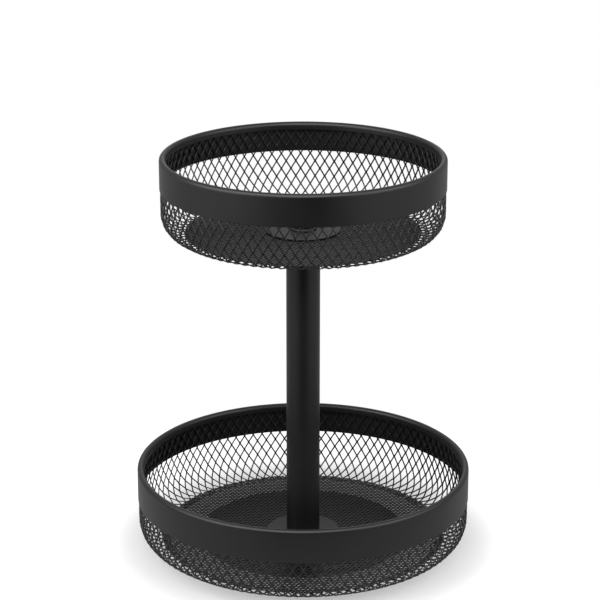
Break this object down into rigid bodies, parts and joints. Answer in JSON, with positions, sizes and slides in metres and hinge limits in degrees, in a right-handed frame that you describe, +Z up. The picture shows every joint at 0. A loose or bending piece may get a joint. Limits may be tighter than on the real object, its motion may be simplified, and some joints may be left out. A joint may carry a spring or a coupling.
{
  "type": "two-tier mesh basket",
  "caption": "Round tiered basket: expanded-metal mesh trays with plain sheet rim bands on a central pole; the smaller upper tray turns on the pole.",
  "frame": {"origin": "on the table, under the pole's axis", "axes": "+Z up along the pole; X and Y across the round trays, the object is round about Z"},
  "size_m": [0.3, 0.3, 0.3654],
  "materials": {
    "powder_coat": "satin black powder coat on steel",
    "zinc_steel": "bright zinc plate",
    "black_steel": "black zinc plate",
    "nylon": "black moulded nylon",
    "foot_rubber": "matt moulded rubber"
  },
  "bodies": {
    "stand": {"lower_rim_band": "powder_coat", "lower_mesh_wall": "powder_coat", "lower_mesh_floor": "powder_coat", "lower_base_plate": "powder_coat", "foot_1": "foot_rubber", "foot_2": "foot_rubber", "foot_3": "foot_rubber", "foot_4": "foot_rubber", "lower_hub_plate": "powder_coat", "pole_tube": "powder_coat", "pole_lower_plug": "zinc_steel", "pole_upper_plug": "zinc_steel", "lower_washer": "zinc_steel", "lower_lock_washer": "zinc_steel", "lower_screw": "zinc_steel", "bearing_washer": "nylon", "turning_bush": "nylon", "upper_washer": "black_steel", "upper_screw": "black_steel"},
    "upper_tray": {"upper_rim_band": "powder_coat", "upper_mesh_wall": "powder_coat", "upper_mesh_floor": "powder_coat", "upper_turn_plate": "powder_coat", "upper_hub_plate": "powder_coat"}
  },
  "joints": [
    {"name": "upper_tray_turn", "type": "hinge", "parent": "stand", "child": "upper_tray", "pos_m": [0, 0, 0.2951], "axis": [0, 0, 1], "continuous": true}
  ]
}
